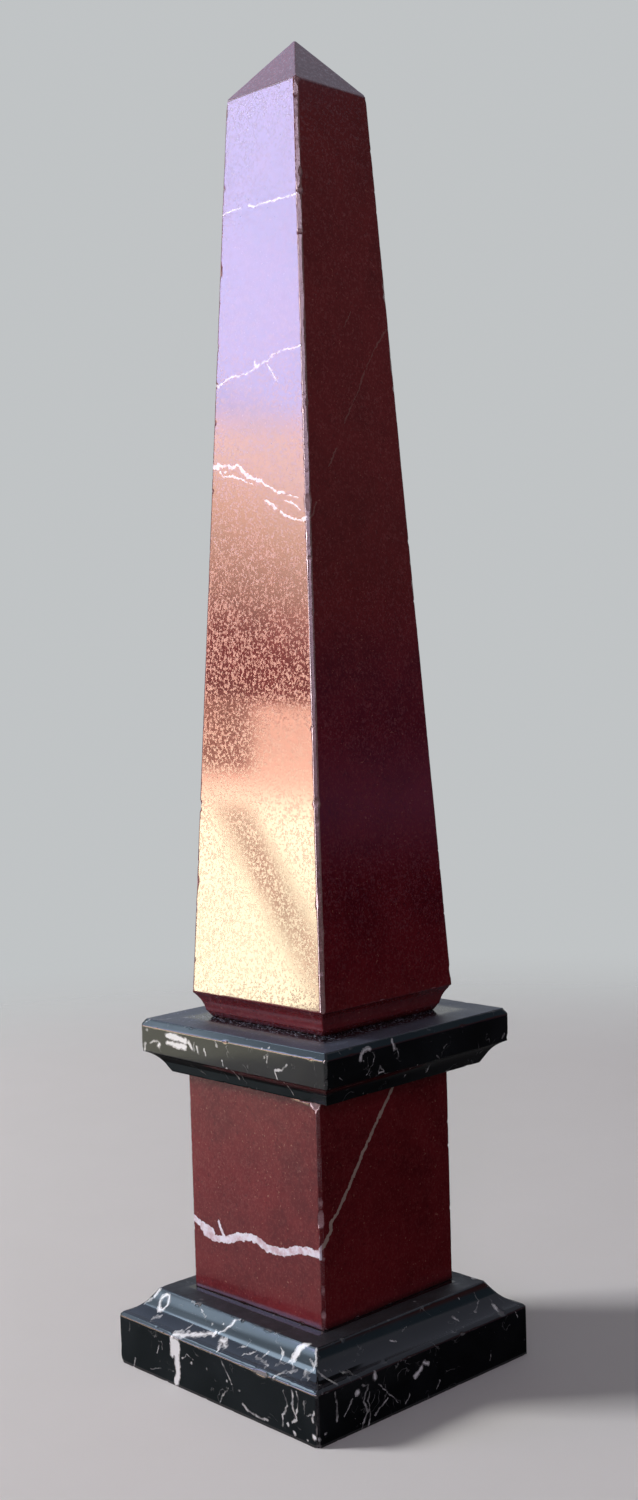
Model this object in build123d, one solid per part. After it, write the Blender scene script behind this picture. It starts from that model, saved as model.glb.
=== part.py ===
"""Desk obelisk in two marbles: four solid blocks set one on the other.

From the bottom up: a moulded black base, a red pedestal block, a moulded black cap slab, and a
tapering red shaft with a coved foot and a pyramid point. Every block is square in plan and has
the same side on all four faces, so each one is drawn as half an outline and squared up.

Millimetres, +Z up, with the origin at the centre of the base's underside.
"""
from build123d import *
import os
from math import sqrt

# Red pedestal block. The shaft is cut to the same width.
PEDESTAL_WIDTH = 64.0
PEDESTAL_HEIGHT = 75.8

# Black base: a plinth, and a moulding that narrows it to the platform under the pedestal
PLINTH_FACE_HEIGHT = 16.7
PLINTH_BEVEL = 1.1              # along the plinth's top edge, the same across as down
PLATFORM_MARGIN = 8.0           # platform shown around the pedestal on each side
BASE_SLOPE_OUT = 2.8            # slope just below the platform's edge
BASE_SLOPE_DROP = 4.0
BASE_COVE_OUT = 6.35            # shallow cove between the slope and the plinth's bevel
BASE_COVE_DROP = 4.2
BASE_COVE_HOLLOW = 0.6          # depth of the cove behind its chord

# Black cap slab: coved below, upright edge, bevelled above
CAP_OVERHANG = 5.6              # lower edge beyond the pedestal on each side
CAP_NECK_OUT = 2.2              # steep lower part of the under-moulding
CAP_NECK_HEIGHT = 3.7
CAP_COVE_OUT = 5.2              # cove from the neck out to the lip
CAP_COVE_HEIGHT = 3.9
CAP_COVE_HOLLOW = 0.6
CAP_FACE_HEIGHT = 8.9
CAP_BEVEL_IN = 1.4
CAP_BEVEL_HEIGHT = 2.3

# Red shaft: bevelled and coved foot, tapering body, pyramid point
FOOT_BEVEL_OUT = 1.6
FOOT_BEVEL_HEIGHT = 2.4
FOOT_COVE_OUT = 3.4
FOOT_COVE_HEIGHT = 6.5
FOOT_COVE_HOLLOW = 0.6
SHAFT_TOP_WIDTH = 34.0
SHAFT_HEIGHT = 300.7            # from the arris above the cove to the foot of the point
POINT_HEIGHT = 19.8

# Flats along the upright corners, measured along each face
RED_ARRIS = 0.9
BLACK_ARRIS = 0.7

# How each block was set on the one below: off centre in x and y, and turned, in degrees
PEDESTAL_SET = (-1.0, 2.2, 1.3)
CAP_SET = (2.8, 1.2, 0.2)
SHAFT_SET = (-0.5, -0.2, 0.0)


def path(start, *legs):
    """Half of a block's outline. A leg is (out, up) for a line, or (out, up, hollow) for a cove."""
    pieces = []
    here = Vector(*start)
    for out, up, *hollow in legs:
        there = here + Vector(out, up)
        pieces.append(SagittaArc(here, there, *hollow) if hollow else Line(here, there))
        here = there
    return pieces


def squared(pieces):
    """Solid with the half outline on all four sides, mitred where the sides meet."""
    outline = Curve() + pieces
    section = make_face(Plane.XZ * (outline + mirror(outline, Plane.YZ)))
    reach = section.bounding_box().size.X
    run = extrude(section, amount=reach, both=True)
    return run & (Rot(0, 0, 90) * run)


def flatten_arrises(block, half_below, half_above, leg):
    """Cuts the four upright corners flat. The halves are the body's half widths at the block's ends."""
    height = block.bounding_box().max.Z

    def corner_square(half, z):
        side = sqrt(2) * (2 * half - leg)
        return Plane.XY.offset(z) * Rot(0, 0, 45) * Rectangle(side, side)

    return block & loft([corner_square(half_below, 0), corner_square(half_above, height)])


def make_base():
    platform_half = PEDESTAL_WIDTH / 2 + PLATFORM_MARGIN
    plinth_half = platform_half + BASE_SLOPE_OUT + BASE_COVE_OUT + PLINTH_BEVEL
    side = path(
        (0, 0),
        (plinth_half, 0),
        (0, PLINTH_FACE_HEIGHT),
        (-PLINTH_BEVEL, PLINTH_BEVEL),
        (-BASE_COVE_OUT, BASE_COVE_DROP, BASE_COVE_HOLLOW),
        (-BASE_SLOPE_OUT, BASE_SLOPE_DROP),
        (-platform_half, 0),
    )
    return flatten_arrises(squared(side), plinth_half, plinth_half, BLACK_ARRIS)


def make_pedestal():
    half = PEDESTAL_WIDTH / 2
    side = path((0, 0), (half, 0), (0, PEDESTAL_HEIGHT), (-half, 0))
    return flatten_arrises(squared(side), half, half, RED_ARRIS)


def make_cap():
    lower_half = PEDESTAL_WIDTH / 2 + CAP_OVERHANG
    face_half = lower_half + CAP_NECK_OUT + CAP_COVE_OUT
    side = path(
        (0, 0),
        (lower_half, 0),
        (CAP_NECK_OUT, CAP_NECK_HEIGHT),
        (CAP_COVE_OUT, CAP_COVE_HEIGHT, CAP_COVE_HOLLOW),
        (0, CAP_FACE_HEIGHT),
        (-CAP_BEVEL_IN, CAP_BEVEL_HEIGHT),
        (CAP_BEVEL_IN - face_half, 0),
    )
    return flatten_arrises(squared(side), face_half, face_half, BLACK_ARRIS)


def make_shaft():
    bottom_half = PEDESTAL_WIDTH / 2
    top_half = SHAFT_TOP_WIDTH / 2
    taper = bottom_half - top_half
    foot_height = FOOT_BEVEL_HEIGHT + FOOT_COVE_HEIGHT
    side = path(
        (0, 0),
        (bottom_half - FOOT_COVE_OUT - FOOT_BEVEL_OUT, 0),
        (FOOT_BEVEL_OUT, FOOT_BEVEL_HEIGHT),
        (FOOT_COVE_OUT, FOOT_COVE_HEIGHT, FOOT_COVE_HOLLOW),
        (-taper, SHAFT_HEIGHT),
        (-top_half, POINT_HEIGHT),
    )
    slope = taper / SHAFT_HEIGHT
    half_below = bottom_half + slope * foot_height
    half_above = top_half - slope * POINT_HEIGHT
    return flatten_arrises(squared(side), half_below, half_above, RED_ARRIS)


def seat(below, height, setting):
    """Where a block stands: on top of the one below, a little off centre and turned."""
    x, y, turn = setting
    return below * Pos(x, y, height) * Rot(0, 0, turn)


def top_of(block):
    return block.bounding_box().max.Z


base = make_base()
pedestal = make_pedestal()
cap = make_cap()
shaft = make_shaft()

pedestal_seat = seat(Location(), top_of(base), PEDESTAL_SET)
cap_seat = seat(pedestal_seat, top_of(pedestal), CAP_SET)
shaft_seat = seat(cap_seat, top_of(cap), SHAFT_SET)

os.makedirs("parts", exist_ok=True)
export_step(base, "parts/base.step")
export_step(pedestal_seat * pedestal, "parts/pedestal_block.step")
export_step(cap_seat * cap, "parts/cap_slab.step")
export_step(shaft_seat * shaft, "parts/shaft.step")
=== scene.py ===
"""Looks of the marble desk obelisk: four worn stone blocks, two polished marbles, a soft studio."""
import math

import bpy
import numpy as np
from mathutils import Matrix, Vector, noise


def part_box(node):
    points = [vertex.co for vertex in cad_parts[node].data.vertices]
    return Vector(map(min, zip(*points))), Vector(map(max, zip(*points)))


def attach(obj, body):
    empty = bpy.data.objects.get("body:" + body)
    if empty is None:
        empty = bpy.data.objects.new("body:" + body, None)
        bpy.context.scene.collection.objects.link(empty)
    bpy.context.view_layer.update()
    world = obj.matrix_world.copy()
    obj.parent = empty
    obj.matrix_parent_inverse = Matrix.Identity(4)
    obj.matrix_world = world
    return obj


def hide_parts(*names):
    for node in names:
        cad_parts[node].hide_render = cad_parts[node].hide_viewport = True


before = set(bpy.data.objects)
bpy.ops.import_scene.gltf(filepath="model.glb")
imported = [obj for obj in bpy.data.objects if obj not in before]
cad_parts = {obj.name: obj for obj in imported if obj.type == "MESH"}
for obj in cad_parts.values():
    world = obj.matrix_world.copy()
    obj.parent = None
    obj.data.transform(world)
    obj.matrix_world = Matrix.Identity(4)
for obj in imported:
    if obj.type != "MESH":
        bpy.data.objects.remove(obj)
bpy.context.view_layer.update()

MM = 0.001

# ---------------------------------------------------------------- stone blocks
# Sizes in millimetres. Heights, places and outer widths come from the frame's nodes.

TURN = {"base": 0.0, "pedestal_block": 1.3, "cap_slab": 1.5, "shaft": 1.5}   # degrees about +Z
ARRIS = {"base": 0.7, "pedestal_block": 0.9, "cap_slab": 0.7, "shaft": 0.9}  # flats on the corners
MITRE = 0.12            # softened corner where two mouldings meet
FULL_WEAR = 0.35        # depth from which an arris shows as wholly worn
FINE = 0.14             # mesh spacing beside an edge
CHAMFER_STEPS = 4

BASE_PLINTH, BASE_BEVEL, BASE_COVE = 16.7, 1.1, 4.2     # heights, from the foot up
CAP_SLOPE, CAP_COVE, CAP_LIP = 3.7, 3.9, 8.9
SHAFT_SLOPE, SHAFT_COVE, SHAFT_BODY = 2.4, 6.5, 300.7
SHAFT_FOOT_HALF, SHAFT_TOP_HALF, SHAFT_TIP_HALF = 32.0, 17.0, 0.4
SHAFT_TAPER = (SHAFT_FOOT_HALF - SHAFT_TOP_HALF) / SHAFT_BODY


def placed(node):
    """Centre in x and y, and foot, of a node's box, in millimetres."""
    low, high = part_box(node)
    centre = (low + high) / 2 / MM
    return centre.x, centre.y, low.z / MM


def spread(length, fine, coarse):
    """Distances from 0 to length, close together at both ends and coarse apart in the middle."""
    near = [0.0]
    step = fine
    while near[-1] + step < length / 2:
        near.append(near[-1] + step)
        step = min(step * 1.45, coarse)
    far = [length - d for d in reversed(near)]
    if far[0] - near[-1] < fine / 2:
        far = far[1:]
    return np.array(near + far)


class Side:
    """A block's side from the underside's edge up to the top's edge, as (half width, height)."""

    def __init__(self, half, z=0.0):
        self.rings = [(half, z)]
        self.edges = []

    def corner(self):
        """Notes that the last ring lies on an edge."""
        self.edges.append(len(self.rings) - 1)

    def line(self, out, up, coarse=2.0):
        """A flat band that runs out and up, with rings at most coarse apart."""
        half, z = self.rings[-1]
        length = math.hypot(out, up)
        for d in spread(length, FINE, coarse)[1:] / length:
            self.rings.append((half + out * d, z + up * d))
        self.corner()
        return self

    def cove(self, out, up, hollow):
        """A hollow arc; hollow is its depth behind the chord."""
        half, z = self.rings[-1]
        chord = math.hypot(out, up)
        across = np.array([up, -out]) / chord
        if across[0] > 0:
            across = -across
        radius = (chord * chord / 4 + hollow * hollow) / (2 * hollow)
        for d in spread(chord, FINE, 0.6)[1:]:
            deep = math.sqrt(radius ** 2 - (d - chord / 2) ** 2) - (radius - hollow)
            self.rings.append((half + out * d / chord + across[0] * deep,
                               z + up * d / chord + across[1] * deep))
        self.corner()
        return self


def base_side(height, half):
    """Plinth, bevel, cove, and a slightly hollow slope up to the flat platform."""
    side = Side(half)
    side.corner()
    return (side.line(0, BASE_PLINTH, 1.2)
            .line(-1.1, BASE_BEVEL)
            .cove(-6.35, BASE_COVE, 0.6)
            .cove(-2.8, height - BASE_PLINTH - BASE_BEVEL - BASE_COVE, 0.09))


def pedestal_side(height, half):
    """One upright face."""
    side = Side(half)
    side.corner()
    return side.line(0, height, 0.75)


def cap_side(height, half):
    """Slope and cove out below the lip, the lip, and a bevel along its top."""
    slope_out, cove_out = 2.2, 5.2
    side = Side(half - slope_out - cove_out)
    side.corner()
    return (side.line(slope_out, CAP_SLOPE)
            .cove(cove_out, CAP_COVE, 0.6)
            .line(0, CAP_LIP, 0.8)
            .line(-1.4, height - CAP_SLOPE - CAP_COVE - CAP_LIP))


def shaft_side(height, half):
    """Slope and cove out from the foot, the tapering body, and the point."""
    slope_out, cove_out = 1.6, 3.4
    point = height - SHAFT_SLOPE - SHAFT_COVE - SHAFT_BODY
    point_in = SHAFT_TOP_HALF - SHAFT_TIP_HALF
    side = Side(half - slope_out - cove_out)
    side.corner()
    return (side.line(slope_out, SHAFT_SLOPE, 0.8)
            .cove(cove_out, SHAFT_COVE, 0.6)
            .line(SHAFT_TOP_HALF - half, SHAFT_BODY, 0.62)
            .line(-point_in, point * point_in / SHAFT_TOP_HALF, 0.8))


def chatter(t, seed, spacing):
    """Uneven but repeatable values from 0 to 1 along an edge, a new one every spacing millimetres."""
    draw = np.random.default_rng(seed)
    knots = draw.random(int(800 / spacing) + 4)
    return np.interp((t + 400) / spacing, np.arange(len(knots)), knots)


def edge_wear(t, seed, strength=1.0):
    """How deep an arris is worn along its length: a fine softening, and a few small nicks."""
    soft = 0.05 + 0.06 * chatter(t, seed, 6.0) + 0.03 * chatter(t, seed + 1, 1.3)
    nicks = 0.40 * chatter(t, seed + 2, 1.7) ** 20 + 0.35 * chatter(t, seed + 3, 4.1) ** 22
    return strength * (soft + nicks)


class Block:
    """A square block as rings of points, one ring for each height of its side."""

    def __init__(self, name, side, along, body_half):
        self.name = name
        self.side = side
        self.body_half = body_half          # half width of the body's corner line at a height
        self.seed = sum(ord(letter) for letter in name)
        flat = max(half for half, z in side.rings) - ARRIS[name]
        self.fractions = spread(2 * flat, FINE * 1.3, along) / flat - 1
        below, above = self.closing(side.rings[0])[::-1], self.closing(side.rings[-1])
        rings = below + side.rings + above
        self.points = np.array([self.ring(half, z) for half, z in rings])
        outline = [side.rings[0]] * len(below) + side.rings + [side.rings[-1]] * len(above)
        self.halves = np.array([half for half, z in outline])
        self.legs = np.array([self.leg(half, z) for half, z in outline])
        self.wear = np.zeros(self.points.shape[:2])

    @staticmethod
    def closing(last):
        """Rings going in over a flat top or underside."""
        half, z = last
        return [(half - d, z) for d in (0.15, 0.4, 0.9, 2.0, 4.5, 9.0, 14.0) if half - d > 1.5]

    def leg(self, half, z):
        """How far the flat on an upright corner reaches back from the corner."""
        return max(MITRE, ARRIS[self.name] - 2 * (self.body_half(z) - half))

    def ring(self, half, z):
        """The points round the block at one height: four sides with a flat between each two."""
        leg = min(self.leg(half, z), half / 2)
        points = []
        for quarter in range(4):
            out = np.array([math.cos(quarter * math.pi / 2), math.sin(quarter * math.pi / 2)])
            along = np.array([-out[1], out[0]])
            for f in self.fractions:
                points.append(out * half + along * (half - leg) * f)
            for step in range(1, CHAMFER_STEPS):
                t = step / CHAMFER_STEPS
                points.append(out * (half - leg * t) + along * (half - leg * (1 - t)))
        return [(x, y, z) for x, y in points]

    def cut(self, over, direction, where):
        """Moves points that stand over a cut plane back onto it, and notes the wear."""
        push = np.where(where & (over > 0), over, 0)
        self.points -= push[..., None] * direction
        self.wear = np.maximum(self.wear, np.clip(push / FULL_WEAR, 0, 1))

    def wear_arrises(self, strength):
        """Wears the four upright corners: both edges of each flat, and the flat itself."""
        for corner in range(4):
            turn = math.pi / 4 + corner * math.pi / 2
            x_sign, y_sign = np.sign(math.cos(turn)), np.sign(math.sin(turn))
            z, leg = self.points[..., 2], self.legs[:, None]
            for place, (lean_x, lean_y) in enumerate(((0.924, 0.383), (0.383, 0.924), (0.707, 0.707))):
                x = self.points[..., 0] * x_sign - self.halves[:, None]
                y = self.points[..., 1] * y_sign - self.halves[:, None]
                back_x = (0, leg, leg / 2)[place]
                back_y = (leg, 0, leg / 2)[place]
                depth = edge_wear(z, self.seed + 40 * corner + 10 * place, strength)
                over = (x + back_x) * lean_x + (y + back_y) * lean_y + depth
                near = (x > -7) & (y > -7)
                self.cut(over, np.array([lean_x * x_sign, lean_y * y_sign, 0]), near)

    def wear_edges(self, strength):
        """Wears the edges that run round the block."""
        rings = self.side.rings
        for number, edge in enumerate(self.side.edges):
            here = np.array(rings[edge])
            below = here - (rings[edge - 1] if edge else (here[0] - 1, here[1]))
            above = (rings[edge + 1] if edge + 1 < len(rings) else (here[0] - 1, here[1])) - here
            below, above = below / np.hypot(*below), above / np.hypot(*above)
            out = below - above
            bend = np.hypot(*out)
            if bend < 0.12 or below[0] * above[1] - below[1] * above[0] < 0:
                continue
            out /= bend
            for quarter in range(4):
                cos, sin = math.cos(quarter * math.pi / 2), math.sin(quarter * math.pi / 2)
                u = self.points[..., 0] * cos + self.points[..., 1] * sin
                v = -self.points[..., 0] * sin + self.points[..., 1] * cos
                z = self.points[..., 2]
                depth = edge_wear(v, self.seed + 400 + 40 * number + 5 * quarter, strength * min(bend, 1))
                over = (u - here[0]) * out[0] + (z - here[1]) * out[1] + depth
                near = (np.abs(u - here[0]) < 3) & (np.abs(z - here[1]) < 3) & (u > np.abs(v) - 1.5)
                self.cut(over, np.array([out[0] * cos, out[0] * sin, out[1]]), near)

    def chip(self, at, facing, size, depth):
        """Scoops a flake out: at its middle on the stone, facing out, (across, up) in size."""
        at, facing = np.array(at, float), np.array(facing, float)
        facing /= np.linalg.norm(facing)
        across = np.cross((0, 0, 1), facing)
        across /= np.linalg.norm(across)
        gap = self.points - at
        off = (2 * (gap @ across) / size[0]) ** 2 + (2 * (gap @ np.cross(facing, across)) / size[1]) ** 2
        near = (off < 2.5) & (gap @ facing > -3 * depth - 1)
        over = np.full(near.shape, -1.0)
        for index in zip(*np.nonzero(near)):
            point = Vector(self.points[index])
            ragged = 0.35 * noise.noise(point * 0.55) + 0.15 * noise.noise(point * 1.7)
            over[index] = gap[index] @ facing + depth * (1 - off[index]) + 0.5 * depth * ragged
        self.cut(over, facing, near)

    def mesh_object(self, material):
        """The finished piece, turned and set on its node's place."""
        cx, cy, foot = placed(self.name)
        turn = math.radians(TURN[self.name])
        levels, columns = self.points.shape[:2]
        flat = self.points.reshape(-1, 3)
        x = flat[:, 0] * math.cos(turn) - flat[:, 1] * math.sin(turn) + cx
        y = flat[:, 0] * math.sin(turn) + flat[:, 1] * math.cos(turn) + cy
        vertices = np.stack([x, y, flat[:, 2] + foot], axis=1) * MM
        faces = []
        for level in range(levels - 1):
            low, high = level * columns, (level + 1) * columns
            for column in range(columns):
                beside = (column + 1) % columns
                faces.append((low + column, low + beside, high + beside, high + column))
        faces.append(tuple(reversed(range(columns))))
        faces.append(tuple(range((levels - 1) * columns, levels * columns)))
        mesh = bpy.data.meshes.new(self.name + "_stone")
        mesh.from_pydata(vertices.tolist(), [], faces)
        mesh.shade_smooth()
        mesh.set_sharp_from_angle(angle=math.radians(50))
        worn = mesh.attributes.new("wear", "FLOAT", "POINT")
        worn.data.foreach_set("value", self.wear.reshape(-1).astype(np.float32))
        mesh.materials.append(material)
        piece = bpy.data.objects.new(self.name + "_stone", mesh)
        bpy.context.scene.collection.objects.link(piece)
        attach(piece, "root")
        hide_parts(self.name)
        return piece


def block(name, make_side, along, taper=0.0, foot=0.0):
    """A block as large as its node's box, with mesh points along apart across its sides.

    Above foot its corner line goes in by taper for each millimetre up.
    """
    low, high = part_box(name)
    height = (high.z - low.z) / MM
    turn = math.radians(TURN[name])
    spread_out = math.cos(turn) + math.sin(turn)
    across = (high.x - low.x) / MM
    half = (across / 2 + ARRIS[name] * math.sin(turn)) / spread_out
    side = make_side(height, half)
    return Block(name, side, along, lambda z: half - taper * (z - foot))


# ---------------------------------------------------------------- stone materials

LEAF = 300.0            # keeps the two pairs of sides apart where sides are laid flat
WAVER = 1.9             # size of the noise that lets drawn lines waver


class Nodes:
    """Short ways to build a node tree. A value is a socket or a plain number or colour."""

    def __init__(self, tree):
        self.tree = tree
        self.tree.nodes.clear()

    def add(self, kind, **settings):
        node = self.tree.nodes.new(kind)
        for name, value in settings.items():
            setattr(node, name, value)
        return node

    def put(self, socket, value):
        if isinstance(value, bpy.types.NodeSocket):
            self.tree.links.new(value, socket)
        elif socket.type == "RGBA":
            socket.default_value = (*value, 1) if len(value) == 3 else value
        else:
            socket.default_value = value

    def split(self, vector):
        node = self.add("ShaderNodeSeparateXYZ")
        self.put(node.inputs[0], vector)
        return node.outputs

    def math(self, operation, *values, clamp=False):
        node = self.add("ShaderNodeMath", operation=operation, use_clamp=clamp)
        for socket, value in zip(node.inputs, values):
            self.put(socket, value)
        return node.outputs[0]

    def plus(self, a, b):
        return self.math("ADD", a, b)

    def minus(self, a, b):
        return self.math("SUBTRACT", a, b)

    def times(self, a, b):
        return self.math("MULTIPLY", a, b)

    def most(self, *values):
        result = values[0]
        for value in values[1:]:
            result = self.math("MAXIMUM", result, value)
        return result

    def band(self, value, start, end):
        """0 at start to 1 at end, smoothly, either way round."""
        node = self.add("ShaderNodeMapRange", interpolation_type="SMOOTHSTEP")
        flip = start > end
        self.put(node.inputs["Value"], value)
        node.inputs["From Min"].default_value = min(start, end)
        node.inputs["From Max"].default_value = max(start, end)
        node.inputs["To Min"].default_value = 1 if flip else 0
        node.inputs["To Max"].default_value = 0 if flip else 1
        return node.outputs["Result"]

    def within(self, value, half, soft):
        """1 where value is nearer zero than half, fading over soft."""
        edge = self.minus(half, self.math("ABSOLUTE", value))
        return self.math("DIVIDE", self.plus(edge, soft / 2), soft, clamp=True)

    def curve(self, value, *points):
        """A line drawn through (in, out) points, level beyond its ends."""
        ins, outs = [p[0] for p in points], [p[1] for p in points]
        low, high = min(outs) - 1, max(outs) + 1
        node = self.add("ShaderNodeFloatCurve")
        share = self.math("DIVIDE", self.minus(value, ins[0]), ins[-1] - ins[0], clamp=True)
        self.put(node.inputs["Value"], share)
        line = node.mapping.curves[0].points
        spots = [((i - ins[0]) / (ins[-1] - ins[0]), (o - low) / (high - low)) for i, o in points]
        line[0].location, line[1].location = spots[0], spots[-1]
        for spot in spots[1:-1]:
            line.new(*spot)
        for knot in line:
            knot.handle_type = "VECTOR"
        node.mapping.update()
        return self.plus(self.times(node.outputs[0], high - low), low)

    def mix(self, share, a, b):
        """From colour a to colour b by share."""
        node = self.add("ShaderNodeMix", data_type="RGBA")
        self.put(node.inputs["Factor"], share)
        self.put(node.inputs["A"], a)
        self.put(node.inputs["B"], b)
        return node.outputs["Result"]

    def blend(self, share, a, b):
        """From number a to number b by share."""
        return self.plus(a, self.times(share, self.minus(b, a)))

    def mix_shaders(self, share, a, b):
        node = self.add("ShaderNodeMixShader")
        self.put(node.inputs[0], share)
        self.put(node.inputs[1], a.outputs[0])
        self.put(node.inputs[2], b.outputs[0])
        return node

    def surface(self, shader, kind="ShaderNodeOutputMaterial"):
        """Ends the tree in a shader node."""
        out = self.add(kind)
        self.put(out.inputs["Surface"], shader.outputs[0])

    def seen(self):
        """1 for what the camera, mirrors and clear things see, 0 for what lights matt surfaces."""
        rays = self.add("ShaderNodeLightPath").outputs
        return self.most(rays["Is Camera Ray"], rays["Is Glossy Ray"], rays["Is Transmission Ray"])


class Stone(Nodes):
    """A node material, with places in millimetres."""

    def __init__(self, name):
        self.material = bpy.data.materials.new(name)
        self.material.use_nodes = True
        super().__init__(self.material.node_tree)
        place = self.add("ShaderNodeTexCoord")
        scaled = self.add("ShaderNodeVectorMath", operation="SCALE")
        self.put(scaled.inputs[0], place.outputs["Object"])
        scaled.inputs["Scale"].default_value = 1 / MM
        self.at = scaled.outputs[0]
        self.x, self.y, self.z = self.split(self.at)
        self.up = self.split(place.outputs["Normal"])[2]
        worn = self.add("ShaderNodeAttribute", attribute_name="wear")
        self.worn = worn.outputs["Fac"]

    def scaled(self, stretch):
        node = self.add("ShaderNodeVectorMath", operation="MULTIPLY")
        self.put(node.inputs[0], self.at)
        node.inputs[1].default_value = stretch
        return node.outputs[0]

    def noise(self, size, detail=2.0, rough=0.5, stretch=None, distortion=0.0, shift=0.0):
        """Noise from 0 to 1 with features about size millimetres across."""
        node = self.add("ShaderNodeTexNoise", noise_dimensions="4D")
        self.put(node.inputs["Vector"], self.scaled(stretch) if stretch else self.at)
        node.inputs["W"].default_value = shift
        node.inputs["Scale"].default_value = 1 / size
        node.inputs["Detail"].default_value = detail
        node.inputs["Roughness"].default_value = rough
        node.inputs["Distortion"].default_value = distortion
        return node.outputs["Fac"]

    def ragged(self):
        """A small amount about zero that roughens the edges of drawn marks."""
        return self.times(self.minus(self.noise(1.1, 2, 0.6, shift=5), 0.5), 0.9)

    def wall(self, centre, turn, reach):
        """The block's sides laid flat: along a side, height, and 0 or LEAF by which pair of sides.

        Over the block's top, further in than reach, height runs on inwards. self.out becomes the
        distance from the middle to the side.
        """
        local = self.add("ShaderNodeMapping", vector_type="TEXTURE")
        self.put(local.inputs["Vector"], self.at)
        local.inputs["Location"].default_value = centre
        local.inputs["Rotation"].default_value = (0, 0, math.radians(turn))
        x, y, z = self.split(local.outputs[0])
        far_x, far_y = self.math("ABSOLUTE", x), self.math("ABSOLUTE", y)
        other = self.math("GREATER_THAN", far_x, far_y)
        along = self.blend(other, x, y)
        self.out = self.most(far_x, far_y)
        inwards = self.most(self.minus(reach, self.out), 0)
        flat = self.add("ShaderNodeCombineXYZ")
        for socket, value in zip(flat.inputs, (along, self.plus(z, inwards), self.times(other, LEAF))):
            self.put(socket, value)
        shake = self.add("ShaderNodeTexNoise")
        self.put(shake.inputs["Vector"], self.at)
        shake.inputs["Scale"].default_value = 1 / WAVER
        shake.inputs["Detail"].default_value = 2.0
        shaken = self.add("ShaderNodeVectorMath", operation="MULTIPLY_ADD")
        self.put(shaken.inputs[0], shake.outputs["Color"])
        shaken.inputs[1].default_value = (1.5, 1.5, 0)
        shaken.inputs[2].default_value = (-0.75, -0.25, 0)
        both = self.add("ShaderNodeVectorMath", operation="ADD")
        self.put(both.inputs[0], flat.outputs[0])
        self.put(both.inputs[1], shaken.outputs[0])
        return both.outputs[0]

    def stroke_distance(self, place, start, end):
        """Distance from place to the straight line between two points of a laid-out side.

        Each node is made after the nodes that feed it, which keeps a long chain within Cycles' stack.
        """
        run = Vector(end) - Vector(start)
        offset = self.add("ShaderNodeVectorMath", operation="SUBTRACT")
        self.put(offset.inputs[0], place)
        offset.inputs[1].default_value = start
        if run.length == 0:
            far = self.add("ShaderNodeVectorMath", operation="LENGTH")
            self.put(far.inputs[0], offset.outputs[0])
            return far.outputs["Value"]
        share = self.add("ShaderNodeVectorMath", operation="DOT_PRODUCT")
        self.put(share.inputs[0], offset.outputs[0])
        share.inputs[1].default_value = run / run.length_squared
        clamped = self.add("ShaderNodeClamp")
        self.put(clamped.inputs[0], share.outputs["Value"])
        nearest = self.add("ShaderNodeVectorMath", operation="SCALE")
        nearest.inputs[0].default_value = run
        self.put(nearest.inputs["Scale"], clamped.outputs[0])
        far = self.add("ShaderNodeVectorMath", operation="DISTANCE")
        self.put(far.inputs[0], offset.outputs[0])
        self.put(far.inputs[1], nearest.outputs[0])
        return far.outputs["Value"]

    def strokes(self, place, leaf, lines):
        """Distance beyond the edge of drawn lines, each (half width, point, point...)."""
        nearest = None
        for half, *points in lines:
            for start, end in zip(points, points[1:] or points):
                far = self.stroke_distance(place, (*start, leaf), (*end, leaf))
                over = self.minus(far, half)
                nearest = over if nearest is None else self.math("MINIMUM", nearest, over)
        return nearest

    def ring(self, place, leaf, centre, radius, half):
        """Distance beyond the edge of a ring's line."""
        far = self.stroke_distance(place, (*centre, leaf), (*centre, leaf))
        return self.minus(self.math("ABSOLUTE", self.minus(far, radius)), half)

    def finish(self, colour, roughness, relief, deepest, gloss=0.5, crystals=None):
        """relief is 0 to 1, deepest its depth in millimetres. crystals glint in a coat of their own."""
        bump = self.add("ShaderNodeBump")
        bump.inputs["Distance"].default_value = deepest * MM
        self.put(bump.inputs["Height"], relief)
        shader = self.add("ShaderNodeBsdfPrincipled")
        self.put(shader.inputs["Base Color"], colour)
        self.put(shader.inputs["Roughness"], roughness)
        shader.inputs["IOR"].default_value = 1.5
        shader.inputs["Specular IOR Level"].default_value = gloss
        if crystals:
            self.put(shader.inputs["Coat Weight"], crystals)
            shader.inputs["Coat Roughness"].default_value = 0.2
            self.put(shader.inputs["Coat Normal"], bump.outputs[0])
        self.put(shader.inputs["Normal"], bump.outputs[0])
        self.surface(shader)
        return self.material


BLACK_DEEP, BLACK_CLOUD = (0.0025, 0.0032, 0.004), (0.009, 0.011, 0.013)
FOSSIL_GREY, FOSSIL_PALE, FOSSIL_WHITE = (0.20, 0.205, 0.205), (0.58, 0.60, 0.60), (0.80, 0.83, 0.84)
# Dust on the flat tops, tinted blue: real dust and a painted reflection of the sky.
DUST_AND_SKY_FILM, DUST_AND_SKY_SPECK = (0.150, 0.185, 0.260), (0.32, 0.35, 0.44)
WORN_BLACK, WORN_GREY = (0.05, 0.052, 0.055), (0.26, 0.265, 0.27)

RED_DEEP, RED_CLOUD, RED_MOTTLE = (0.090, 0.0040, 0.0075), (0.145, 0.0095, 0.0135), (0.180, 0.017, 0.019)
CRYSTAL, SPARK, DARK_GRAIN = (0.28, 0.060, 0.055), (0.42, 0.17, 0.12), (0.040, 0.003, 0.006)
VEIN_ROSE, VEIN_WHITE = (0.56, 0.41, 0.47), (0.80, 0.80, 0.90)
# Painted shade: the veins' colours on the second pair of sides, darkened as if in shade.
SHADED_VEIN_DARK, SHADED_VEIN_LIGHT = (0.27, 0.20, 0.17), (0.50, 0.40, 0.33)
# Painted shade: a near-black red laid over each red block towards its foot, as contact shadow.
FOOT_SHADE = (0.010, 0.003, 0.004)
WORN_RED, WORN_PINK = (0.20, 0.070, 0.075), (0.52, 0.31, 0.33)
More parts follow.
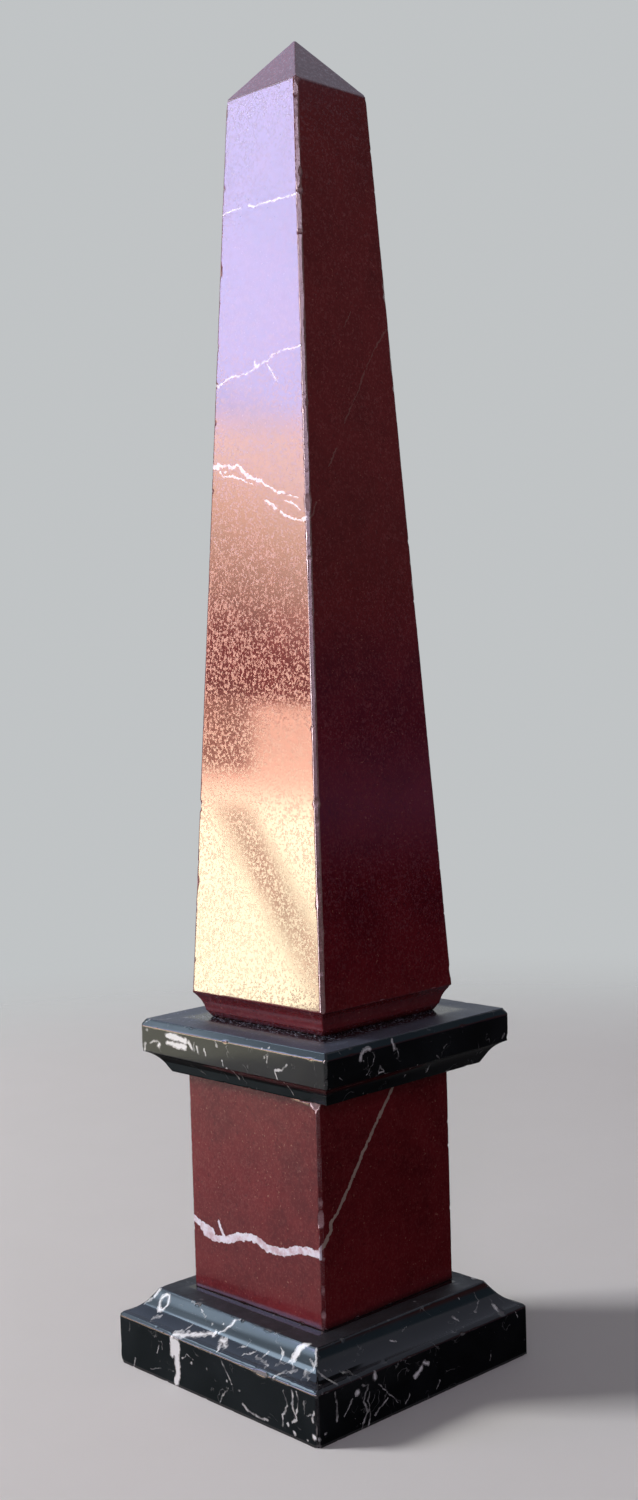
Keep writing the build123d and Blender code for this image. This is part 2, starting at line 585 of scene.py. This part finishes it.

# Fossils and veins in the black stone, drawn on its sides laid flat: (half width, points).
# A point is (along, height), and over the top edge the height runs on inwards.
BASE_FRONT = [
    (2.6, (-18.8, 14.6), (-19, 13)), (1.5, (-18.2, 12), (-18, 5), (-18.8, 2)),
    (1.2, (-20.8, 16.5), (-20.6, 11)), (0.9, (-20.5, 17.8), (-15, 18.6)),
    (0.8, (-15, 18.6), (-9.5, 19.7)), (0.6, (-9.5, 19.7), (-5.5, 20.6)), (1.15, (-4.9, 20.6)),
    (0.6, (-3.6, 21.2), (-1.2, 22.6)), (0.75, (-1, 23), (1.2, 25.3)), (0.4, (1.2, 25.3), (3, 26.3)),
    (0.75, (-1, 20), (1.6, 20)), (0.6, (1.6, 19.8), (3.4, 19)), (0.6, (0.8, 19), (2, 17.9)),
    (0.3, (3.5, 17.8), (7, 13.5), (10, 9.5)), (0.8, (-39.2, 26), (-40.4, 23.8)),
    (0.5, (-41, 22.9), (-43.2, 21.2)), (0.5, (-34.5, 19), (-32, 20)),
    (0.35, (-22, 26), (-18, 26), (-12.5, 23.5)), (0.28, (-17.5, 19), (-16.5, 21)), (0.5, (-8, 22.5)),
    (0.4, (-3.5, 23.5)), (0.25, (-27.5, 13.5), (-29, 9)), (0.35, (-26.5, 14), (-26, 11.5)),
    (0.4, (-41.5, 4), (-42, 1.5)), (0.5, (-50, 16), (-50, 12)),
    (0.25, (-33, 2.5), (-29, 4), (-20.5, 5.5)), (0.22, (-15.5, 11), (-13, 13), (-9.5, 12.5)),
    (0.45, (-10.5, 11)), (0.4, (-2.5, 11)), (0.25, (8, 20), (11, 20.5), (11.5, 22)),
    (0.25, (12.5, 19), (16, 20.5)), (0.3, (17.5, 19.5), (24.5, 19)), (0.28, (20, 20), (21, 21.5)),
    (0.35, (25, 23.5), (27.5, 22), (28, 20)), (0.4, (27, 19.5), (30.5, 20.5), (33.5, 22)),
    (0.4, (30, 17.5), (32, 19), (36, 19.8)), (0.4, (32.5, 21), (34.5, 20)),
    (1.4, (32.3, 22.7), (33, 24.8)), (1.2, (33, 24.8), (35.5, 27)),
    (0.5, (39.5, 26.5), (41, 24), (42, 21.5)), (0.4, (42, 21.5), (40, 19.5)),
    (0.3, (38.8, 23.5), (41, 22.3), (43, 23.5)), (0.3, (39, 20.5), (42.5, 19.5)),
    (0.3, (43.5, 25.5), (42.5, 22.5)), (0.4, (34.5, 14.5), (36.5, 10.5), (34, 6.5), (34, 3)),
    (0.5, (39, 16), (39, 11), (40.5, 7), (38.5, 5.5)), (0.35, (41, 16), (41.5, 12.5), (40.5, 9)),
    (0.4, (44.5, 14), (44, 10)), (0.5, (48.5, 12), (48, 9)), (0.3, (45.5, 9.5), (47.5, 11)),
    (0.4, (15, 4.5), (18, 3), (23, 2.5), (27, 2.8)), (0.6, (36.5, 4.5)), (0.7, (39.5, 2.5)),
    (1.1, (48.5, 4)), (0.6, (45.5, 2)), (0.5, (13.5, 8.5)), (0.4, (7.5, 9.8)), (0.4, (8, 7.8)),
    (0.3, (7.5, 7), (4.5, 4), (3.8, 2)),
]
BASE_SIDE = [
    (0.45, (-36, 19.5), (-33.5, 19), (-31, 17)), (0.35, (-41.5, 21), (-39, 20.5)),
    (0.45, (-43.5, 21.5), (-43, 20), (-41, 18)), (0.4, (-48, 17.5), (-46, 18.5)), (1.2, (-33, 13)),
    (0.35, (-35, 12), (-37, 9.5), (-39, 7.5)),
    (0.5, (-31, 14.5), (-28, 14), (-30.5, 9.5), (-28.5, 5.5), (-31.5, 1)),
    (0.35, (-27.5, 11.5), (-28.5, 9), (-27.5, 4.5), (-28.5, 1)),
    (0.5, (-42.5, 16), (-42, 12.5), (-42, 7)), (1.0, (-25, 16.5), (-25, 15)),
    (0.3, (-23.5, 13), (-18.5, 8), (-15, 4)), (0.4, (-19.5, 7), (-22, 5.5), (-25.5, 3.5)),
    (1.1, (-6.5, 10), (-3.5, 12)), (0.9, (-2.5, 13.5), (-0.5, 12.5)), (0.45, (-11, 21.5), (-9, 21)),
    (0.25, (-4.5, 22.5), (-2, 23)), (0.4, (9.5, 31.5), (11, 29.5)), (0.45, (25, 24.5)),
    (0.4, (18.5, 21), (19.5, 20)), (0.3, (33, 24.5), (33, 22), (28.5, 20)), (0.8, (38, 20), (37.5, 19)),
    (0.3, (44, 17), (45, 15)), (0.3, (31, 7.5), (30, 4)), (0.4, (5, 5), (3.5, 3)), (0.4, (4, 11.5)),
    (0.4, (-9.5, 5), (-11.5, 2.5)), (1.0, (-50, 3.5)), (0.7, (-47, 4.5)),
]
BASE_RINGS = [((-34.4, 23.2), 2.1, 0.8)]
CAP_FRONT = [
    (1.35, (-30.6, 15.3), (-25, 15.1), (-21.5, 14.7)), (1.1, (-30.6, 12.9), (-26, 12.5)),
    (1.3, (-26, 12.6), (-21.8, 12.5)), (0.8, (-19.8, 14.4), (-18, 12.4)),
    (0.45, (-16.8, 14.8), (-17, 12)), (0.7, (-15.4, 13.6), (-15, 11.6)), (0.4, (-12, 13), (-11, 11.2)),
    (0.5, (-6.2, 16.5), (-5.4, 15)), (0.45, (-39.8, 11.3), (-38, 12.6), (-36, 13), (-34.8, 12.2)),
    (0.8, (-34.8, 12), (-35.6, 10.8)), (0.7, (-41.5, 16)), (0.6, (-42.5, 11), (-43, 9)),
    (0.3, (-3, 10.5), (-2.5, 9)), (0.5, (-1, 8)), (0.5, (17.5, 14.5)), (0.35, (19, 15), (18.5, 13)),
    (0.4, (22, 11), (25.5, 11.5), (27.5, 13.5)), (0.3, (22, 10.5), (23.5, 7.5)), (0.4, (30, 14)),
    (0.4, (16, 17)), (0.4, (19, 18)), (0.25, (-43, 18), (-37.5, 22), (-33, 29.5), (-26, 35)),
    (0.25, (-26, 2.5), (-20, 1.5)),
]
CAP_SIDE = [
    (0.7, (-29.5, 14.5), (-29, 16.5), (-27.5, 17.5), (-24.5, 17.5)),
    (0.3, (-24, 16.5), (-23, 14.5), (-24, 12), (-27, 9.5)), (0.4, (-28, 14)),
    (0.3, (-39, 11), (-37.5, 10)), (0.4, (-21.5, 9.5), (-20.5, 11), (-19, 9), (-21, 8.8)),
    (0.35, (-21.5, 7)), (0.8, (-13.5, 18.5), (-14, 17.5), (-13.5, 15.5)),
    (0.35, (-12.5, 15.5), (-11.5, 13.5)), (0.4, (-3, 8)), (0.35, (7, 9.5), (8.5, 7.5)),
    (0.35, (10.5, 11.5), (12, 12.5)), (0.5, (41, 9.5), (42, 10.5)), (0.35, (33, 12)),
    (0.3, (10, 22.5), (9, 18.5)),
]


def black_marble(node, reach, front, side, rings, dusty, specked, dull, clean, foot_above):
    """Near-black marble. Marks run on over the flat top, further in than reach.

    A film and specks of dust lie on the flat top, as strong as dusty and specked, tinted blue as a
    painted reflection of the sky. The specks are thickest round the foot of the block above,
    foot_above from the middle. The film makes the stone as rough as dull, and it starts clean out
    from that foot.
    """
    s = Stone("black_marble_" + node)
    clouds = s.noise(24, 4, 0.6, distortion=0.5)
    colour = s.mix(s.band(clouds, 0.35, 0.7), BLACK_DEEP, BLACK_CLOUD)

    cx, cy, foot = placed(node)
    flat = s.wall((cx, cy, foot), TURN[node], reach)
    over = s.math("MINIMUM", s.strokes(flat, 0, front), s.plus(s.strokes(flat, LEAF, side), 0.10))
    for centre, radius, half in rings:
        over = s.math("MINIMUM", over, s.ring(flat, 0, centre, radius, half))
    veins = s.band(s.plus(over, s.ragged()), 0.06, -0.20)
    broken = s.band(s.noise(4.5, 2, 0.6, shift=7), 0.34, 0.56)
    veins = s.times(veins, s.most(broken, s.band(over, -0.25, -0.5)))
    crumbs = s.band(s.noise(1.7, 2.5, 0.6, stretch=(1, 1, 1.4), shift=13), 0.70, 0.78)
    crumbs = s.times(crumbs, s.band(s.noise(14, 2, 0.5, shift=15), 0.46, 0.62))
    hair = s.within(s.minus(s.noise(13, 3, 0.5, distortion=1.6, shift=16), 0.5), 0.006, 0.008)
    hair = s.times(hair, s.band(s.noise(6, 2, 0.6, shift=18), 0.52, 0.66))
    white = s.most(veins, s.times(crumbs, 0.45), s.times(hair, 0.30))
    tone = s.mix(s.band(s.noise(2.6, 3, 0.6, shift=17), 0.35, 0.65), FOSSIL_GREY, FOSSIL_PALE)
    tone = s.mix(s.band(over, -0.30, -0.75), tone, FOSSIL_WHITE)
    colour = s.mix(white, colour, tone)

    flat_top = s.band(s.up, 0.90, 0.98)
    crowd = s.band(s.out, foot_above + 13, foot_above + 1)
    speck = s.noise(0.62, 2, 0.7, shift=27)
    clear = s.band(s.out, foot_above + clean, foot_above + 3 * clean)
    film = s.times(clear, s.blend(s.noise(7, 3, 0.6, shift=29), 0.3, 1.0))
    specks = s.band(s.plus(speck, s.times(crowd, 0.045)), 0.60, 0.68)
    dust = s.times(flat_top, s.most(s.times(specks, specked), s.times(film, dusty)))
    # Dust over the flat tops, in colours whose blue tint paints the sky's reflection.
    colour = s.mix(dust, colour, s.mix(specks, DUST_AND_SKY_FILM, DUST_AND_SKY_SPECK))
    grain = s.noise(0.5, 2, 0.65, shift=33)
    wear = s.band(s.plus(s.worn, s.times(s.minus(grain, 0.5), 0.3)), 0.15, 0.9)
    colour = s.mix(s.times(wear, 0.6), colour, s.mix(grain, WORN_BLACK, WORN_GREY))
    rough = s.blend(s.band(s.noise(12, 3, 0.6, shift=39), 0.35, 0.7), 0.06, 0.11)
    rough = s.blend(s.times(flat_top, film), rough, dull)
    rough = s.blend(s.most(dust, wear), rough, 0.6)
    relief = s.times(grain, 0.6)
    return s.finish(colour, rough, relief, 0.003)


# Veins in the red stone, laid flat as the black stone's marks are.
PEDESTAL_FRONT = [
    (1.2, (-32, 25), (-28, 23.5)), (1.8, (-26, 22.5), (-22, 21.5)),
    (1.2, (-25, 20.5), (-20, 19.8), (-14.5, 20.3)), (0.6, (-18, 26), (-16.5, 22.5), (-14.5, 20.5)),
    (1.35, (-14, 20.5), (-9, 22.7), (-2, 24), (1.5, 23.6), (6, 22), (14, 22.3), (20, 24.5), (26, 25.5),
     (31, 25.2)),
    (0.9, (31, 25.5), (32.5, 28.5)),
]
PEDESTAL_SIDE = [
    (0.75, (-32, 27), (-27.5, 32.5)), (0.7, (-27.5, 33), (-27.5, 35), (-24.5, 37.5)),
    (0.6, (-24.5, 37.5), (-18.5, 45), (-12.5, 53.5), (-5.5, 62.5), (2, 71.5), (5.5, 76)),
]
SHAFT_FRONT = [
    (0.24, (-19.5, 272.3), (-14, 273), (-9, 273.2)), (0.28, (-5, 273.2), (-2, 272.2)),
    (0.2, (-2, 272.2), (3.5, 272.7)), (0.32, (3.5, 272.7), (8, 272.3), (11, 272.3)),
    (0.22, (11, 272.3), (18.5, 272.3)), (0.38, (-21.5, 216), (-19, 215.2)),
    (0.26, (-19, 215.5), (-13.5, 217.5), (-10, 217.5)), (0.2, (-10, 217.5), (-3.5, 218), (-1, 219.5)),
    (0.32, (-1.5, 221), (-1, 219), (1, 220)), (0.2, (1, 220), (5, 220.5), (6.5, 222)),
    (0.2, (6.5, 222), (12.5, 223), (16.5, 223)), (0.32, (16.5, 223), (20, 223)),
    (0.26, (4.5, 219.5), (6.5, 217), (9, 213.5)), (0.85, (-22.5, 188.7), (-19.5, 188)),
    (0.45, (-19.5, 189), (-17, 188), (-14.5, 188.2), (-12.5, 187)),
    (0.45, (-12.5, 187), (-10, 188), (-8.5, 187.2)), (0.65, (-8.5, 187), (-5, 184)),
    (0.5, (-5, 183.5), (-0.5, 182.5)), (0.65, (0, 182), (2, 181.5)), (0.34, (2.5, 181), (9, 177.5)),
    (0.4, (10, 177), (13, 176.5)), (0.2, (13, 176.5), (19.5, 174.5)), (0.45, (-22.5, 185)),
    (0.45, (-15.5, 186)), (0.4, (-12.5, 184.5), (-10.5, 184)), (0.24, (-10.5, 184), (-2.5, 181)),
    (0.3, (-18.5, 186.5), (-16.5, 184.5), (-13, 184.5)), (0.5, (4, 175), (9, 172)),
    (0.42, (11.5, 170.5), (14, 169)), (0.4, (14.5, 169), (17, 168)), (0.26, (17, 168), (21, 167)),
    (0.7, (22, 167.5), (24.5, 167.8)), (0.3, (13, 174), (16, 173.5), (20.5, 170.5)),
]
SHAFT_SIDE = [
    (0.3, (-23.5, 167.5), (-22, 169), (-20, 173)), (0.28, (-13, 185), (-9, 191)),
    (0.28, (-4.5, 199.5), (-1, 205)), (0.15, (-1, 205), (3.5, 211)), (0.28, (3.5, 211), (6.5, 217)),
    (0.15, (6.5, 217), (12.5, 225.5)), (0.35, (12.5, 225.5), (18.5, 232.5)), (0.2, (-2, 231), (2, 236.5)),
]


def red_marble(node, front, side, crystals, shaded, gloss, polish, shade_height):
    """Deep red marble. crystals: how strongly the fine crystals glint. gloss: how much is mirrored.

    shaded: how strongly the second sides' veins show, in their painted shade colour. polish: roughness
    between the crystals.
    shade_height: how high above the foot the painted contact shade reaches.
    """
    s = Stone("red_marble_" + node)
    clouds = s.band(s.noise(30, 4, 0.55, distortion=0.6), 0.3, 0.7)
    mottle = s.band(s.noise(3.5, 3, 0.6, shift=3), 0.35, 0.7)
    colour = s.mix(clouds, RED_DEEP, RED_CLOUD)
    colour = s.mix(s.times(mottle, 0.30), colour, RED_MOTTLE)
    crowd = s.band(s.noise(26, 2, 0.5, shift=7), 0.30, 0.70)
    fleck = s.noise(0.90, 1.0, 0.5, stretch=(1.1, 1.1, 0.95), distortion=0.7, shift=11)
    flecks = s.band(s.plus(fleck, s.times(crowd, 0.03)), 0.53, 0.615)
    colour = s.mix(s.times(flecks, 0.15), colour, CRYSTAL)
    sparks = s.band(s.noise(1.0, 1.5, 0.6, shift=91), 0.66, 0.73)
    colour = s.mix(s.times(sparks, 0.4), colour, SPARK)
    dark = s.band(s.noise(1.1, 2, 0.6, shift=19), 0.42, 0.30)
    colour = s.mix(s.times(dark, 0.4), colour, DARK_GRAIN)

    cx, cy, foot = placed(node)
    flat = s.wall((cx, cy, foot), TURN[node], 0)
    ragged = s.ragged()
    bold = s.band(s.plus(s.strokes(flat, 0, front), ragged), 0.12, -0.16)
    side_veins = s.band(s.plus(s.strokes(flat, LEAF, side), ragged), 0.12, -0.16)
    pale = s.mix(s.band(s.noise(2.4, 3, 0.6, shift=61), 0.3, 0.6), VEIN_ROSE, VEIN_WHITE)
    shaded_vein = s.mix(s.noise(3, 3, 0.6, shift=63), SHADED_VEIN_DARK, SHADED_VEIN_LIGHT)
    # Painted shade: on the second pair of sides the veins take darker brown-grey colours, as if in shade.
    colour = s.mix(s.times(side_veins, shaded), colour, shaded_vein)
    colour = s.mix(bold, colour, pale)

    # Painted shade: darkens the stone towards the block's foot, where it stands on the block below.
    foot_shade = s.times(s.band(s.z, foot + shade_height, foot + 0.1 * shade_height), 0.7)
    colour = s.mix(foot_shade, colour, FOOT_SHADE)
    grain = s.noise(0.5, 2, 0.65, shift=71)
    wear = s.band(s.plus(s.worn, s.times(s.minus(grain, 0.5), 0.35)), 0.15, 0.85)
    colour = s.mix(s.times(wear, 0.8), colour, s.mix(grain, WORN_RED, WORN_PINK))
    smears = s.band(s.noise(16, 3, 0.6, stretch=(1, 1, 0.45), shift=83), 0.35, 0.75)
    rough = s.blend(smears, polish, 1.4 * polish)
    glint = s.band(s.noise(2.1, 2, 0.6, shift=23), 0.35, 0.68)
    rough = s.blend(flecks, rough, s.blend(glint, 0.15, 0.25))
    rough = s.blend(s.most(wear, s.times(bold, 0.35)), rough, 0.55)
    relief = s.plus(s.times(grain, 0.04), s.times(flecks, s.times(fleck, 0.28)))
    return s.finish(colour, rough, relief, 0.026, gloss,
                    s.times(flecks, s.blend(glint, 0.35 * crystals, 1.6 * crystals)))


# ---------------------------------------------------------------- build the pieces

base = block("base", base_side, 0.6)
pedestal = block("pedestal_block", pedestal_side, 0.62)
cap = block("cap_slab", cap_side, 0.6)
shaft = block("shaft", shaft_side, 2.2, SHAFT_TAPER, SHAFT_SLOPE + SHAFT_COVE)

for stone, strength in ((base, 1.4), (pedestal, 1.2), (cap, 0.85), (shaft, 1.0)):
    stone.wear_arrises(strength)
    stone.wear_edges(strength)

# A chip: its middle on the block (from the foot's centre), the way it faces, its size, its depth.
pedestal.chip((25.0, -32.0, 76.0), (0.05, -0.9, 0.45), (20.0, 7.5), 1.15)
pedestal.chip((31.0, -32.0, 74.5), (0.25, -0.9, 0.35), (9.0, 11.0), 1.35)
pedestal.chip((-32.0, -32.0, 36.0), (-0.7, -0.7, 0), (2.2, 3.4), 0.7)
shaft.chip((-28.0, -28.0, 73.0), (-0.7, -0.7, 0), (2.4, 3.6), 0.8)
shaft.chip((-17.0, -17.0, 308.0), (-0.7, -0.7, 0.3), (3.4, 7.0), 1.0)
shaft.chip((17.0, 17.0, 308.5), (0.7, 0.7, 0.3), (3.4, 7.0), 1.0)
cap.chip((45.0, 45.0, 8.6), (0.7, 0.7, -0.2), (4.0, 3.5), 1.4)
cap.chip((-45.0, -45.0, 8.0), (-0.7, -0.7, -0.4), (3.0, 3.0), 1.2)
base.chip((-50.25, -50.25, 6.0), (-0.7, -0.7, 0), (3.0, 9.0), 1.0)
base.chip((-50.25, -50.25, 0.0), (-0.6, -0.6, -0.5), (5.0, 5.0), 1.6)
base.chip((50.25, -50.25, 0.0), (0.6, -0.6, -0.5), (5.0, 4.5), 1.3)

red_pedestal = red_marble("pedestal_block", PEDESTAL_FRONT, PEDESTAL_SIDE, crystals=0.2, shaded=0.95,
                          gloss=0.48, polish=0.15, shade_height=2.6)
red_shaft = red_marble("shaft", SHAFT_FRONT, SHAFT_SIDE, crystals=0.45, shaded=0.25,
                       gloss=0.8, polish=0.045, shade_height=2.2)
black_base = black_marble("base", 40.0, BASE_FRONT, BASE_SIDE, BASE_RINGS, dusty=0.01, specked=0.06,
                          dull=0.9, clean=0.4, foot_above=32.0)
black_cap = black_marble("cap_slab", 43.6, CAP_FRONT, CAP_SIDE, [], dusty=0.54, specked=0.95,
                         dull=0.55, clean=3.0, foot_above=27.8)
for stone, material, slot in ((base, black_base, "black_marble"), (pedestal, red_pedestal, "red_marble"),
                              (cap, black_cap, "black_marble"), (shaft, red_shaft, "red_marble")):
    stone.mesh_object(material)


# ---------------------------------------------------------------- studio
# Places and sizes in metres from the middle of the object's foot, headings in degrees.

STRIP_HEADING = 225.0
HIGH_HEADING = 213.0
FAR, NEAR = 9.0, 4.0            # distances of the two large cards, and of the smaller ones
LAMP_HEIGHT = 28.0              # degrees over the floor
LAMP_DISTANCE = 2.2
LAMP_AIM = Vector((0, 0, 0.2))
FLOOR = 1.4                     # half of the floor's width
FLAG_GAP = 0.5                  # millimetres between the floor and the flags on it
CAMERA_PLACE = Vector((433.1, -404.9, 241.8)) * MM
CAMERA_LENS = 41.706
CAMERA_TURN = (46.491, -2.925, -1.666)      # yaw, pitch and roll in degrees


def plane(name, corners, material, hidden=False):
    """A flat piece of the studio. A hidden one isn't in the camera's view."""
    mesh = bpy.data.meshes.new(name)
    mesh.from_pydata([tuple(c) for c in corners], [], [(0, 1, 2, 3)])
    mesh.materials.append(material)
    piece = bpy.data.objects.new(name, mesh)
    bpy.context.scene.collection.objects.link(piece)
    piece.visible_camera = not hidden
    return piece


def upright(distance, heading, width, low, high):
    """Corners of a card standing on edge that faces the object from a heading in degrees."""
    angle = math.radians(heading)
    middle = Vector((math.cos(angle), math.sin(angle), 0)) * distance
    side = Vector((-math.sin(angle), math.cos(angle), 0)) * width / 2
    up = Vector((0, 0, 1))
    return [middle - side + up * low, middle + side + up * low,
            middle + side + up * high, middle - side + up * high]


def level(x0, y0, x1, y1):
    """Corners of a flag lying just over the floor, from millimetres."""
    return [(x * MM, y * MM, FLAG_GAP * MM) for x, y in ((x0, y0), (x1, y0), (x1, y1), (x0, y1))]


def glow_material(name, light):
    """A card that only glows; light gives its colour and power."""
    s = Stone(name)
    colour, power = light(s)
    glow = s.add("ShaderNodeEmission")
    s.put(glow.inputs["Color"], colour)
    s.put(glow.inputs["Strength"], power)
    s.surface(glow)
    return s.material


CREAM, PEACH, ORANGE = (1.0, 0.91, 0.62), (1.0, 0.545, 0.39), (1.0, 0.62, 0.42)
DIM_RED, SALMON, ROSE = (1.0, 0.50, 0.42), (1.0, 0.65, 0.48), (1.0, 0.69, 0.64)
LAVENDER, SKY_BLUE, COOL_BLUE = (0.58, 0.60, 1.0), (0.58, 0.77, 1.0), (0.62, 0.80, 1.0)


def card_side(s, heading):
    """Millimetres along a card that stands at a heading, from its middle."""
    angle = math.radians(heading)
    return s.minus(s.times(s.y, math.cos(angle)), s.times(s.x, math.sin(angle)))


def strip_light(s):
    """The strip as the shaft mirrors it, from its foot up: cream, peach, a dim gap, peach, lavender.

    A dim bar leans across the cream. Only the rough crystals catch the wings on either side.
    """
    side = card_side(s, STRIP_HEADING)
    slant = s.plus(s.z, s.times(side, 0.42))
    tint = s.mix(s.band(s.z, 900, 1300), DIM_RED, SALMON)
    tint = s.mix(s.band(slant, 1540, 1950), tint, ROSE)
    tint = s.mix(s.band(s.z, 2060, 2330), tint, LAVENDER)
    tint = s.mix(s.band(s.z, 680, 630), tint, PEACH)
    tint = s.mix(s.band(s.z, 240, -60), tint, CREAM)
    low = s.curve(s.z, (-1500, 15.5), (-330, 15.8), (-60, 16.5), (90, 16.3), (225, 13.0), (363, 11.3),
                  (500, 11.4), (600, 12.0), (650, 1.0))
    high = s.curve(slant, (850, 0.9), (1000, 1.7), (1280, 4.2), (1466, 6.0), (1606, 7.3), (1745, 8.6),
                   (1886, 9.6), (2018, 9.8), (2159, 9.9), (2300, 11.4), (2400, 11.7), (4600, 11.7))
    power = s.most(low, high)
    corner = s.times(s.band(side, -50, -110), s.times(s.band(s.z, 190, 310), s.band(s.z, 700, 640)))
    power = s.blend(corner, power, 2.6)
    lean = s.plus(s.times(side, 0.868), s.plus(s.times(s.z, 0.496), 128))
    bar = s.times(s.within(lean, 85, 60), s.times(s.band(s.z, -1500, -500), s.band(s.z, 120, 10)))
    power = s.blend(s.times(bar, 0.80), power, 2.2)
    tint = s.mix(s.times(bar, 0.8), tint, ORANGE)
    wings = s.curve(s.z, (-500, 7), (150, 8), (330, 14), (650, 13.5), (1050, 13.5), (1400, 8.5),
                    (1900, 7.5), (2400, 11), (3250, 10), (3550, 3), (3750, 5.5), (4600, 5.5))
    outside = s.band(s.math("ABSOLUTE", side), 400, 520)
    tint = s.mix(s.times(outside, s.band(s.z, 3500, 3650)), tint, SKY_BLUE)
    return tint, s.blend(outside, power, wings)


def high_light(s):
    """Bluish: on its left bright at the top, on its right only along the bottom."""
    side = card_side(s, HIGH_HEADING)
    right = s.curve(s.z, (3600, 2.5), (3850, 5.0), (4750, 4.8), (5100, 1.9), (8800, 1.2))
    left = s.curve(s.z, (3600, 2.2), (6450, 2.4), (6950, 8.0), (8800, 8.5))
    return COOL_BLUE, s.blend(s.band(side, 150, -150), right, left)


def front_light(s):
    """Pinkish, brighter from its foot up."""
    return (1.0, 0.78, 1.0), s.curve(s.z, (300, 1.2), (700, 2.6), (1500, 5.0), (2400, 7.0))


def dark_light(s):
    """Almost dark: a little purple low down, a little red in the middle, a little blue above."""
    tint = s.mix(s.band(s.z, 300, 700), (0.75, 0.45, 1.0), (1.0, 0.38, 0.40))
    tint = s.mix(s.band(s.z, 1950, 2150), tint, (0.50, 0.75, 1.0))
    return tint, s.curve(s.z, (-350, 0.01), (-50, 0.02), (130, 0.16), (330, 0.05), (900, 0.19),
                         (2600, 0.22))


def matt(name, tint):
    """A flat colour, for flags just over the floor that keep its brightness out of the polish."""
    s = Stone(name)
    shader = s.add("ShaderNodeBsdfDiffuse")
    s.put(shader.inputs["Color"], tint)
    s.surface(shader)
    return s.material


def floor_material(inner, outer):
    """Floor that is pale to camera and mirrors, and darker to matt bounces.

    It fades into the background between two radii in millimetres.
    """
    s = Stone("pale_floor")
    reach = s.math("SQRT", s.plus(s.times(s.x, s.x), s.times(s.y, s.y)))
    seen = s.seen()
    pale = s.mix(s.noise(40, 4, 0.6), (0.77, 0.77, 0.76), (0.80, 0.80, 0.795))
    paint = s.add("ShaderNodeBsdfDiffuse")
    s.put(paint.inputs["Color"], s.mix(seen, (0.20, 0.20, 0.20), pale))
    clear = s.add("ShaderNodeBsdfTransparent")
    s.surface(s.mix_shaders(s.band(reach, inner, outer), paint, clear))
    return s.material


plane("floor", [(-FLOOR, -FLOOR, 0), (FLOOR, -FLOOR, 0), (FLOOR, FLOOR, 0), (-FLOOR, FLOOR, 0)],
      floor_material(420, 850))

# Each card: name, corners (distance, heading, width, foot, top) and the light on it.
CARDS = [
    ("tall_soft_strip", upright(FAR, STRIP_HEADING, 2.2, -1.5, 4.6), strip_light),
    ("high_soft_panel", upright(FAR, HIGH_HEADING, 3.8, 3.6, 8.8), high_light),
    ("edge_panel", upright(NEAR, 267.0, 1.6, -0.6, 2.0), lambda s: ((1.0, 0.80, 0.86), 26.0)),
    ("front_soft_panel", upright(NEAR, 313.0, 1.0, 0.3, 2.4), front_light),
    ("low_warm_card", upright(0.35, 226.0, 0.36, 0.040, 0.085), lambda s: ((1.0, 0.98, 0.80), 1.6)),
    ("dark_card", upright(NEAR, 49.0, 2.2, -0.8, 2.6), dark_light),
]
cards = {name: plane(name, corners, glow_material(name, light), hidden=True)
         for name, corners, light in CARDS}
black = matt("matt_black", (0.05, 0.05, 0.05))
slate = matt("matt_slate", (0.20, 0.25, 0.26))
FLAGS = [
    ("right", level(51, -250, 850, 850), black), ("back_left", level(-700, 51, 51, 600), black),
    ("left", level(-700, -51, -51, 51), black), ("front", level(-700, -85, 51, -51), slate),
]
flags = [plane("floor_flag_" + name, corners, material, hidden=True) for name, corners, material in FLAGS]
for card in (cards["high_soft_panel"], cards["edge_panel"], cards["low_warm_card"], *flags):
    card.visible_shadow = False         # these are there for mirrored light only
    card.visible_diffuse = False

lamp = bpy.data.lights.new("soft_box", "AREA")
lamp.shape = "RECTANGLE"
lamp.size, lamp.size_y = 0.5, 0.5
lamp.energy = 38.0
lamp.color = (1.0, 0.97, 0.94)
soft_box = bpy.data.objects.new("soft_box", lamp)
heading, height = math.radians(STRIP_HEADING), math.radians(LAMP_HEIGHT)
toward = Vector((math.cos(heading) * math.cos(height), math.sin(heading) * math.cos(height),
                 math.sin(height)))
soft_box.visible_glossy = False
soft_box.location = toward * LAMP_DISTANCE + LAMP_AIM
soft_box.rotation_euler = toward.to_track_quat("Z", "Y").to_euler()
bpy.context.scene.collection.objects.link(soft_box)

world = bpy.data.worlds.new("studio")
world.use_nodes = True
bpy.context.scene.world = world
sky = Nodes(world.node_tree)
seen = sky.seen()
toward_sky = sky.split(sky.add("ShaderNodeTexCoord").outputs["Generated"])
above = sky.band(toward_sky[2], 0.36, 0.62)
high_left = sky.times(above, sky.band(toward_sky[0], -0.25, -0.60))
overhead = sky.mix(above, (0.53, 0.55, 0.56), (0.34, 0.36, 0.45))
backdrop = sky.add("ShaderNodeBackground")
sky.put(backdrop.inputs["Color"], sky.mix(high_left, overhead, (0.72, 0.86, 1.20)))
fill = sky.add("ShaderNodeBackground")
sky.put(fill.inputs["Color"], (0.96, 0.98, 1.0))
sky.put(fill.inputs["Strength"], 0.17)
sky.surface(sky.mix_shaders(seen, fill, backdrop), "ShaderNodeOutputWorld")

scene = bpy.context.scene
scene.view_settings.view_transform = "Standard"

eye = bpy.data.cameras.new("camera")
eye.lens = CAMERA_LENS
camera = bpy.data.objects.new("camera", eye)
yaw, pitch, roll = (math.radians(angle) for angle in CAMERA_TURN)
camera.matrix_world = (Matrix.Translation(CAMERA_PLACE)
                       @ Matrix.Rotation(yaw, 4, "Z")
                       @ Matrix.Rotation(math.pi / 2 + pitch, 4, "X")
                       @ Matrix.Rotation(roll, 4, "Z"))
scene.collection.objects.link(camera)
scene.camera = camera
